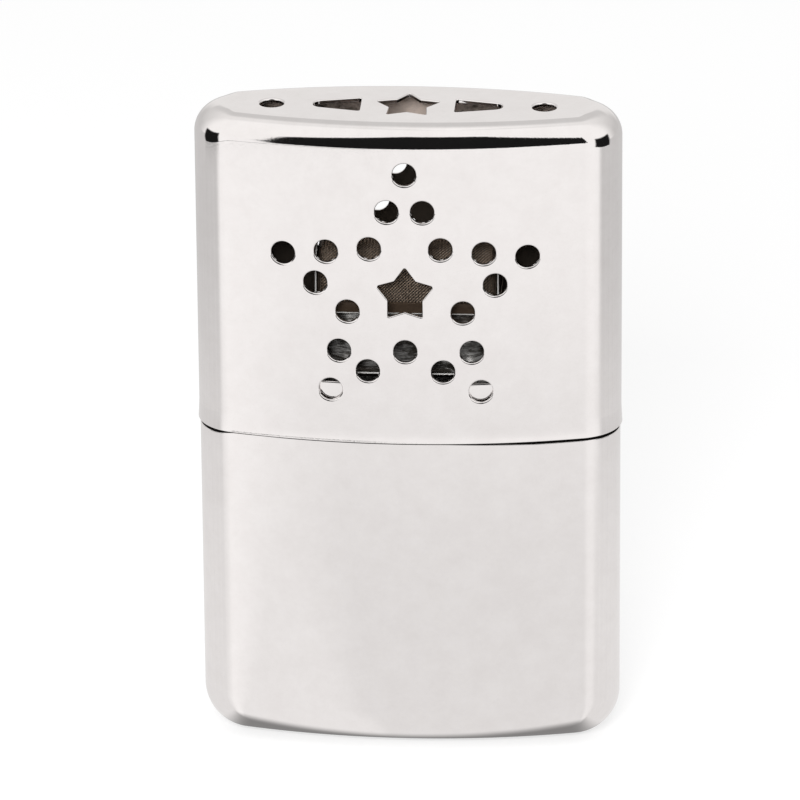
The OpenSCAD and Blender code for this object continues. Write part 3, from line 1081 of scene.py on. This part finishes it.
def polished(name, colour, warm, haze, shade_rise=None):
    """Buffed steel: faint cloudy haze, hairline polishing scratches, a slight waviness.
    Its last argument, where given, is the height range, in metres, over which a line of
    painted shade at the foot of the collar fades out. The deck of such a piece gets painted
    shade round the neck."""
    look = Look(name, colour, 1.0, haze)
    tone = look.cloud(260.0, 6.0, 0.7).shades((0.32, tuple(c * 0.975 for c in colour)), (0.68, warm))
    smear = look.cloud(95.0, 3.0, 0.5, 0.4, (1, 1, 0.35))
    hairs = look.cloud(5200.0, 2.0, 0.6, stretch=(1, 1, 0.02))
    rough = smear.spread(0.35, 0.7, haze * 0.8, haze * 1.35) + hairs.spread(0.62, 0.8, 0.0, haze * 0.5)
    # Painted shade: a dark line at the collar's foot and a dark deck round the neck
    if shade_rise:
        x, _, z = look.split(look.place())
        patchy = look.cloud(500.0, 3.0, 0.6).spread(0.3, 0.7, -0.00012, 0.00012)
        painted_shade = abs(x).ease(0.008, 0.0115, 0.93, 0.0) * z.spread(*DECK_FACE, 0.0, 1.0)
        shade_mask = (z + patchy).ease(*shade_rise, 1.0, 0.0).most(painted_shade)
        tone = shade_mask.tint(tone, SHADE_COLOUR)
        rough = rough + shade_mask * 0.5
    look.set("Base Color", tone)
    look.set("Roughness", rough)
    waves = look.cloud(42.0, 2.0, 0.4, stretch=(1, 1, 0.4))
    look.bump(waves + look.cloud(3000.0, 3.0, 0.6) * 0.16, 0.000022)
    return look.material


def unpolished(name, colour, stain, roughness, metallic=1.0, marks_depth=0.000006):
    """Steel as it was drawn: dull, stained by heat, with upright drawing marks."""
    look = Look(name, colour, metallic, roughness)
    marks = look.cloud(2600.0, 3.0, 0.6, stretch=(1, 1, 0.05))
    look.set("Base Color", look.cloud(190.0, 5.0, 0.65, 0.3).shades((0.3, colour), (0.7, stain)))
    look.set("Roughness", marks.spread(0.3, 0.7, roughness * 0.8, roughness * 1.2))
    look.bump(marks, marks_depth)
    return look.material


def shaded_inside(name, bare, painted_shade, rise):
    """The inside of the cap: brownish steel in random patches, with painted shade low down that
    reaches further up at the sides. rise is the height range, in metres, over which it grows paler."""
    look = Look(name, bare, 0.15, 0.45)
    patches = look.cloud(700.0, 5.0, 0.65, 0.3)
    marks = look.cloud(2600.0, 3.0, 0.6, stretch=(1, 1, 0.1))
    x, _, z = look.split(look.place())
    height = z + abs(x).spread(0.003, 0.0095, 0.0, -0.0048) + patches.spread(0.3, 0.7, -0.002, 0.002)
    tone = patches.shades((0.3, bare), (0.7, tuple(c * 0.68 for c in bare)))
    # Painted shade: near black below rise, the steel's own colour above it
    look.set("Base Color", height.ease(*rise, 1.0, 0.0).tint(tone, painted_shade))
    look.set("Roughness", marks.spread(0.3, 0.7, 0.38, 0.55))
    look.bump(marks + patches, 0.000012)
    return look.material


def reflection_streaked(name, bright, dark):
    """Steel whose colour has bright and dark streaks along it: painted reflections."""
    look = Look(name, bright, 0.7, 0.2)
    streaks = look.cloud(2100.0, 4.0, 0.7, 0.8, (0.16, 0.16, 1))
    share = streaks + (look.cloud(240.0, 3.0, 0.5) - 0.5) * 0.8
    # The streaks in the colour are painted reflections
    look.set("Base Color", share.shades((0.42, dark), (0.66, bright)))
    look.set("Roughness", streaks.spread(0.3, 0.7, 0.32, 0.16))
    look.bump(streaks, 0.00003)
    return look.material


def woven(name, colour, stain):
    """Drawn wire, browned by heat."""
    look = Look(name, colour, 0.5, 0.32)
    look.set("Base Color", look.cloud(420.0, 4.0, 0.6).shades((0.32, colour), (0.68, stain)))
    look.set("Roughness", look.cloud(9000.0, 2.0, 0.5).spread(0.3, 0.7, 0.24, 0.42))
    return look.material


def fibrous(name, colour, shade, scale, depth):
    """Matted fibres: fine tangled lines over soft clumps."""
    look = Look(name, colour, 0.0, 0.95)
    look.set("Sheen Weight", 0.25)
    look.set("Sheen Roughness", 0.5)
    clumps = look.cloud(scale, 4.0, 0.6, 0.8)
    tangle = {"Vector": look.place((1, 0.35, 1)), "Scale": scale * 12}
    strands = look.value("TexVoronoi", tangle, "Distance")
    look.set("Base Color", clumps.shades((0.3, shade), (0.62, colour)))
    look.bump(clumps + strands * 0.5, depth)
    return look.material


CHROME = ((0.90, 0.868, 0.862), (0.92, 0.892, 0.888), 0.05)
CASE_STEEL = polished("case_steel_look", *CHROME)
# The collar and deck carry painted shade at the collar's foot and round the neck
COLLAR_STEEL = polished("collar_look", *CHROME, shade_rise=(0.0529, 0.0538))
BURNER_STEEL = unpolished("burner_steel_look", (0.80, 0.78, 0.75), (0.70, 0.66, 0.62), 0.16, 0.95, 0.00001)
END_CAP_STEEL = unpolished("end_cap_look", (0.24, 0.185, 0.145), (0.12, 0.092, 0.07), 0.26, 0.85)
SOCKET_STEEL = reflection_streaked("socket_look", (0.88, 0.865, 0.84), (0.085, 0.075, 0.065))
# Near black painted shade in the seam's gap: the rim's underside and the inner face of the shell's lip
SEAM_SHADE = unpolished("seam_shade_look", (0.035, 0.03, 0.028), (0.012, 0.011, 0.01), 0.6, 0.2)
# Pale steel that paints highlights on the socket's lip, the tray's lower edge and the end caps' seams
SEAM_HIGHLIGHT = unpolished("seam_highlight_look", (0.93, 0.92, 0.90), (0.86, 0.84, 0.81), 0.25, 0.35)
# Its second colour is the painted shade low in the cap
INNER_STEEL = shaded_inside("inner_steel_look", (0.92, 0.77, 0.68), (0.075, 0.060, 0.048), (0.094, 0.0995))
DULL_STEEL = unpolished("dull_steel_look", (0.42, 0.355, 0.30), (0.30, 0.24, 0.20), 0.33, 0.5)
TRAY_STEEL = unpolished("tray_look", (0.15, 0.105, 0.072), (0.085, 0.058, 0.04), 0.33, 0.5)
BRAZE = unpolished("braze_look", (0.72, 0.60, 0.38), (0.60, 0.48, 0.30), 0.30)
# The two sets are the same wire, one paler and one darker: painted light and shade on the weave
WARP = woven("warp_look", (0.66, 0.53, 0.42), (0.36, 0.265, 0.195))
WEFT = woven("weft_look", (0.30, 0.225, 0.165), (0.15, 0.105, 0.075))
COTTON = fibrous("cotton_look", (0.93, 0.91, 0.87), (0.82, 0.79, 0.74), 320.0, 0.0004)
FELT = fibrous("felt_look", (0.82, 0.80, 0.76), (0.70, 0.67, 0.62), 900.0, 0.0002)
# Near black: painted shade inside the hood
GLASS_WOOL = fibrous("glass_wool_look", (0.10, 0.088, 0.078), (0.04, 0.035, 0.03), 700.0, 0.0003)

# ---- the pieces ----


def fit(piece, body, slot, *nodes):
    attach(piece, body)
    if nodes:
        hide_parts(*nodes)
    return piece


fit(build_cap([CASE_STEEL, INNER_STEEL, SEAM_SHADE]), "cap", "case_steel", "cap")
fit(build_shell([CASE_STEEL, SEAM_SHADE]), "tank", "case_steel", "tank_shell")
fit(build_tank_top([COLLAR_STEEL]), "tank", "case_steel", "tank_top")
fit(build_neck([BURNER_STEEL]), "tank", "case_steel", "filler_neck")
fit(build_braze([BRAZE]), "tank", "case_steel")

wick_r = WICK_HIGH[1]
wick = [(wick_r - 0.6, WICK_LOW[2], 0), (wick_r, WICK_LOW[2], 0.5), (wick_r, WICK_HIGH[2], 0.7)]
wick.append((wick_r - 0.8, WICK_HIGH[2], 0))
made = build_pad("wick_felt", OVAL, wick, [FELT], 0.35, 0.9, 3.0)
fit(made, "tank", "felt", "wick_pad")

soft_in = HALF_W - WADDING_HIGH[0]
foot_in = soft_in + FOOT_R - 1.5
wadding = [(-foot_in, WADDING_LOW[2], 0), (-soft_in, WADDING_LOW[2], FOOT_R - 1.6)]
wadding += [(-soft_in, WADDING_HIGH[2], 2.0), (-soft_in - 2.2, WADDING_HIGH[2], 0)]
made = build_pad("tank_wadding", CASE, wadding, [COTTON], 0.8, 0.35, 5.0, longest=1.4)
fit(made, "tank", "cotton", "cotton_wadding")

fit(build_socket([SOCKET_STEEL, SEAM_HIGHLIGHT]), "burner", "burner_steel", "burner_socket")
fit(build_tray([TRAY_STEEL, SEAM_HIGHLIGHT]), "burner", "dull_steel", "gauze_frame")
fit(build_mat([GLASS_WOOL]), "burner", "glass_wool", "catalyst_mat")
fit(build_wires("gauze_warp", 1, [WARP]), "burner", "gauze", "gauze_hood")
fit(build_wires("gauze_weft", -1, [WEFT]), "burner", "gauze")
for hand, side in (("right", 1), ("left", -1)):
    made = build_end_cap(f"gauze_cap_{hand}", side, [END_CAP_STEEL, SEAM_HIGHLIGHT])
    fit(made, "burner", "burner_steel", f"end_cap_{hand}")

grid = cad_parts["support_grid"]
grid.data.materials.clear()
grid.data.materials.append(DULL_STEEL)

# ---- floor, light and camera ----

FLOOR_HALF = 3.0
DEGREES = 180 / HALF_TURN
BLACK = 0.01
WHITE = (1, 1, 1, 1)
# Where on the floor distance from the case's ends and front starts, and the half sizes of
# the painted shadow under the foot, in metres
END_FROM, FRONT_FROM = 0.0275, 0.007
FOOT_SHADE = (0.036, 0.0115)
# How far round to the sides metal still sees the bright front, in degrees
BRIGHT_TO = (55.0, 69.0)
# Where metal sees black past the ends of the case: from, to and softness, in degrees
SIDE_CARDS = (57.0, 97.0, 2.5)
# The upper edge of the dark camera side: lines of degrees up at the middle, and their
# rise for each degree to the right
DARK_EDGES = ((52.5, 0.0), (75.0, -1.98), (61.7, 1.53), (330.0, 12.5))


def floor_for_metal(nodes):
    """How bright metal sees the floor: softly lit in front with painted shade near the case,
    greyer at the sides and behind, a painted shadow under the foot, and dark past the front
    edge of the white sheet."""
    x, y, _ = nodes.split(nodes.value("TexCoord", output="Object"))
    toward = y * -1.0
    out = (abs(x) - END_FROM).most(0.0)
    ahead = toward - FRONT_FROM
    far = (out * out + ahead * ahead).math("SQRT")
    round_end = out.math("ARCTAN2", ahead) * DEGREES
    turn = round_end - x.spread(-0.01, 0.01, 0.0, 9.0)
    centred = x.math("ARCTAN2", toward) * DEGREES
    away = far.ease(0.05, 0.24)
    left = centred.window(-120.0, -25.0, 9.0) * away.spread(0.0, 1.0, 0.074, 0.008)
    cheeks = turn.window(28.0, 51.0, 8.0) * away.spread(0.0, 1.0, 0.10, 0.03)
    # Darker near the case: painted shade
    front = away * 0.155 + left + cheeks + 0.813
    streaks = nodes.cloud(0.3, 3.0, 0.7, at=nodes.value("CombineXYZ", {"X": round_end}))
    side = away * -0.2 + streaks * 0.24 + 0.70
    level = turn.ease(*BRIGHT_TO).mix(front, side)
    # The sheet's far edge, which the lens of the case shows as a black band under its rim
    sheet_end = (x * 0.8 + 0.43).most(0.37)
    ragged = (nodes.cloud(90.0, 3.0, 0.7, at=y) - 0.5) * 9.0
    beyond = (toward - sheet_end).ease(0.0, 0.02) * (centred + ragged).window(-28.0, 34.0, 1.2)
    # Its side edges, which the round ends show as two black spots
    side_end = x.spread(-0.01, 0.01, 0.268, 0.34)
    outside = (far - side_end).spread(0.0, 0.012, 0.0, 1.0) * round_end.window(*SIDE_CARDS)
    crack = far.window(0.284, 0.306, 0.003) * centred.window(-75.0, -10.0, 6.0) * 0.85
    level = beyond.most(outside.most(crack)).mix(level, BLACK)
    # Painted shadow under the foot
    across = abs(x * (1 / FOOT_SHADE[0])).math("POWER", 4.0)
    along = abs(y * (1 / FOOT_SHADE[1])).math("POWER", 2.0)
    return level * across.most(along).ease(0.25, 0.6, 0.3, 1.0)


def build_floor():
    """A pale floor that keeps the part's shadow."""
    mesh = bpy.data.meshes.new("floor")
    corners = [(x * FLOOR_HALF, y * FLOOR_HALF, 0) for x, y in ((-1, -1), (1, -1), (1, 1), (-1, 1))]
    mesh.from_pydata(corners, [], [(0, 1, 2, 3)])
    look = Look("floor_look", (0.9, 0.9, 0.9), 0.0, 0.9)
    look.set("Specular IOR Level", 0.0)
    plain = Value(look, look.shader.outputs["BSDF"])
    pale = look.value("BsdfDiffuse", {"Color": (0.5, 0.5, 0.5, 1)})
    lift = look.value("Emission", {"Strength": 0.62, "Color": WHITE})
    seen = look.value("AddShader", {0: pale, 1: lift})
    glow = look.value("Emission", {"Strength": floor_for_metal(look), "Color": (1.0, 0.99, 0.98, 1)})
    surface = look.tree.nodes["Material Output"].inputs["Surface"]
    look.give(surface, look.by_ray(plain, seen, glow))
    show("floor", mesh, [look.material])


def studio_for_metal(nodes):
    """How bright metal sees each direction: a white ceiling that comes down in front, a
    grey wall behind, dark cards low at both sides, and the dark camera side."""
    x, y, z = nodes.split(nodes.value("TexCoord", output="Generated"))
    rise = z.math("ARCSINE") * DEGREES
    turn = x.math("ARCTAN2", y * -1.0) * DEGREES
    turned = abs(turn)
    back = rise.ease(56.0, 84.0).mix(rise.ease(21.6, 27.0, 0.84, 0.65), 1.04)
    corner = rise.spread(10.0, 62.0, 0.6, 0.88)
    behind = turned.ease(146.0, 168.0).mix(corner, back)
    room = turned.ease(85.0, 125.0, 1.0, 0.0).mix(behind, 1.0)
    ragged = (nodes.cloud(0.9, 3.0, 0.7, at=rise) - 0.5) * 5.0
    top = 90.0
    for height, lean in DARK_EDGES:
        line = (turn + ragged if lean > 2 else turn) * lean + height
        top = line.math("SMOOTH_MIN", top, 5.0)
    front = (top - rise).ease(-1.0, 2.0)
    sides = rise.ease(13.0, 18.0, 1.0, 0.0) * turned.window(*SIDE_CARDS)
    return front.most(sides).mix(room, BLACK)


def build_world():
    """White to the eye, and a studio to metal."""
    world = bpy.data.worlds.new("studio")
    bpy.context.scene.world = world
    world.use_nodes = True
    nodes = Nodes(world.node_tree)
    nodes.tree.nodes.clear()
    glows = ((WHITE, 0.45), (WHITE, 1.0), ((1.0, 0.99, 0.975, 1), studio_for_metal(nodes)))
    shaders = [nodes.value("Background", {"Color": hue, "Strength": power}) for hue, power in glows]
    nodes.add("OutputWorld", {"Surface": nodes.by_ray(*shaders)})


def build_lamp(name, size, power, place_at):
    """A soft lamp that metal doesn't mirror."""
    data = bpy.data.lights.new(name, "AREA")
    data.shape = "RECTANGLE"
    data.size, data.size_y = size
    data.energy = power
    lamp = show(name, data)
    lamp.location = place_at
    lamp.rotation_euler = (Vector((0, 0, 0.08)) - lamp.location).to_track_quat("-Z", "Y").to_euler()
    lamp.visible_glossy = False


AZIMUTH = math.radians(3.7708)
ELEVATION = math.radians(22.6258)
ROLL = math.radians(-0.466)
TARGET = Vector((-1.5855, 0, 55.8105))
DISTANCE = 1227.4
PIXELS_PER_MM = 6.4062
FRAME_PIXELS = 800
SENSOR = 36.0


def build_camera():
    """A long lens at the photograph's angle."""
    data = bpy.data.cameras.new("camera")
    data.sensor_width = SENSOR
    data.lens = PIXELS_PER_MM * DISTANCE * SENSOR / FRAME_PIXELS
    data.clip_start, data.clip_end = 0.05, 20.0
    camera = show("camera", data)
    turn = Matrix.Identity(4)
    for angle, axis in ((AZIMUTH, "Z"), (QUARTER - ELEVATION, "X"), (ROLL, "Z")):
        turn = turn @ Matrix.Rotation(angle, 4, axis)
    back = turn.col[2].xyz
    camera.matrix_world = Matrix.Translation((TARGET + back * DISTANCE) * MM) @ turn
    bpy.context.scene.camera = camera


build_floor()
build_world()
build_lamp("overhead_lamp", (0.9, 0.7), 2.4, (0.0, -0.2, 1.05))
build_lamp("front_lamp", (0.34, 0.28), 6.5, (-0.06, -0.88, 0.55))
build_camera()
bpy.context.scene.view_settings.view_transform = "Standard"
